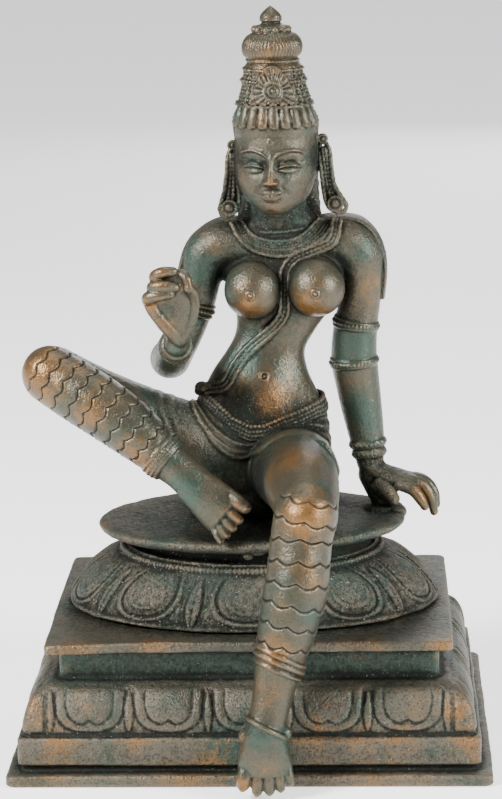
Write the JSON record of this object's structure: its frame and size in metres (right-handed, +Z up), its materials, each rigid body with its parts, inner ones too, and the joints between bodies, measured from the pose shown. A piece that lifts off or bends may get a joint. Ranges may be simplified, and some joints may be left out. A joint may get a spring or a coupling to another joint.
{
  "type": "parvati figure",
  "caption": "Cast bronze figure of a goddess seated at ease on an oval lotus seat, one leg hanging in front of a stepped rectangular plinth.",
  "frame": {"origin": "centre of the plinth's underside, on the surface it stands on", "axes": "+Z up; the goddess faces -Y; +X to the viewer's right, the side of her resting hand"},
  "size_m": [0.195, 0.1678, 0.3009],
  "materials": {
    "figure_bronze": "brown-green bronze patina, rubbed bright on the raised places",
    "plinth_bronze": "dark green bronze patina, rubbed bright along the edges"
  },
  "bodies": {
    "root": {"goddess_on_lotus_seat": "figure_bronze", "plinth": "plinth_bronze"}
  },
  "joints": []
}
